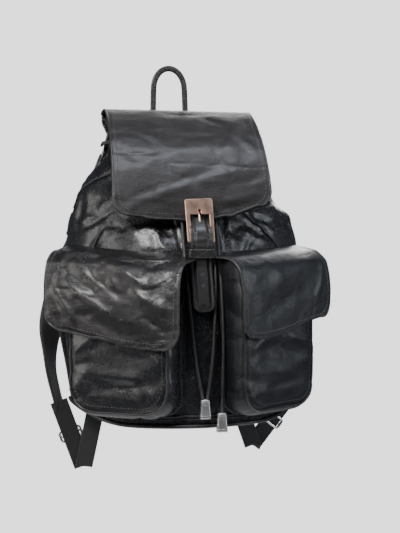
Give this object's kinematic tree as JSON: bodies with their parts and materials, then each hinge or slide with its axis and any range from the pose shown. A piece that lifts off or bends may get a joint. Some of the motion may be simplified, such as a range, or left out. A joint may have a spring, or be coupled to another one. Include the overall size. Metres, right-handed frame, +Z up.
{
  "type": "drawstring backpack",
  "caption": "Soft leather bucket backpack with a drawstring mouth, a buckled top flap, flapped front pockets, a hanging loop and webbing shoulder straps.",
  "frame": {"origin": "the point inside the top of the hanging loop where a hook bears", "axes": "+Z up, -Y towards the front of the bag, +X to the bag's right side as seen from the front, +Y towards the wall or the wearer's back"},
  "size_m": [0.3189, 0.2046, 0.4704],
  "materials": {
    "leather": "soft black leather, semi-gloss grain",
    "leather_flap": "soft black leather with a brown cast",
    "piping": "leather piping",
    "lining": "plain woven lining",
    "board": "stiffening board",
    "webbing": "woven webbing",
    "shoulder": "satin-faced padded strap",
    "lace": "folded leather lace",
    "copper": "brushed rose-coloured plating",
    "nickel": "satin nickel",
    "chrome": "polished"
  },
  "bodies": {
    "pouch": {"back_panel": "leather", "front_panel": "leather", "side_panel_left": "leather", "side_panel_right": "leather", "base_panel": "leather", "base_piping": "piping", "base_board": "board", "lining": "lining", "mouth_band": "leather", "drawstring": "lace", "cord_eyelets": "nickel", "drawstring_left_tail": "lace", "drawstring_middle_tail": "lace", "drawstring_right_tail": "lace", "cord_end_left": "nickel", "cord_end_right": "nickel", "flap_fold_strip": "leather_flap", "closure_socket": "nickel", "pocket_left": "leather", "pocket_right": "leather", "pocket_socket_left": "nickel", "pocket_socket_right": "nickel", "grab_handle": "leather", "strap_anchor_patch": "leather", "shoulder_strap_left": "shoulder", "shoulder_strap_right": "shoulder", "webbing_left": "webbing", "webbing_right": "webbing", "anchor_tab_left": "leather", "anchor_tab_right": "leather"},
    "flap": {"top_flap": "leather_flap", "buckle_strap": "leather_flap", "strap_keeper": "leather_flap", "buckle_frame": "copper", "buckle_pin": "nickel", "prong_pin": "nickel", "buckle_tab": "leather_flap", "closure_stud": "nickel"},
    "prong": {"buckle_prong": "copper"},
    "pocket_flap_l": {"pocket_flap_left": "leather_flap", "pocket_stud_left": "nickel"},
    "pocket_flap_r": {"pocket_flap_right": "leather", "pocket_stud_right": "nickel"},
    "slider_l": {"slider_left": "chrome"},
    "slider_r": {"slider_right": "chrome"}
  },
  "joints": [
    {"name": "flap_lift", "type": "hinge", "parent": "pouch", "child": "flap", "pos_m": [0.006, -0.0353, -0.0497], "axis": [-1, 0, 0], "range_deg": [0, 150]},
    {"name": "prong_lift", "type": "hinge", "parent": "flap", "child": "prong", "pos_m": [0.006, -0.13759, -0.17414], "axis": [-1, 0, 0], "range_deg": [0, 70]},
    {"name": "pocket_flap_left_lift", "type": "hinge", "parent": "pouch", "child": "pocket_flap_l", "pos_m": [-0.07143, -0.11259, -0.2068], "axis": [-0.8192, 0.5736, 0], "range_deg": [0, 97]},
    {"name": "pocket_flap_right_lift", "type": "hinge", "parent": "pouch", "child": "pocket_flap_r", "pos_m": [0.08343, -0.11259, -0.2068], "axis": [-0.8192, -0.5736, 0], "range_deg": [0, 97]},
    {"name": "slider_left_slide", "type": "slide", "parent": "pouch", "child": "slider_l", "axis": [-0.3379, 0, 0.9412], "range_m": [-0.01, 0.008]},
    {"name": "slider_right_slide", "type": "slide", "parent": "pouch", "child": "slider_r", "axis": [0.6339, 0, 0.7734], "range_m": [-0.01, 0.008]}
  ]
}
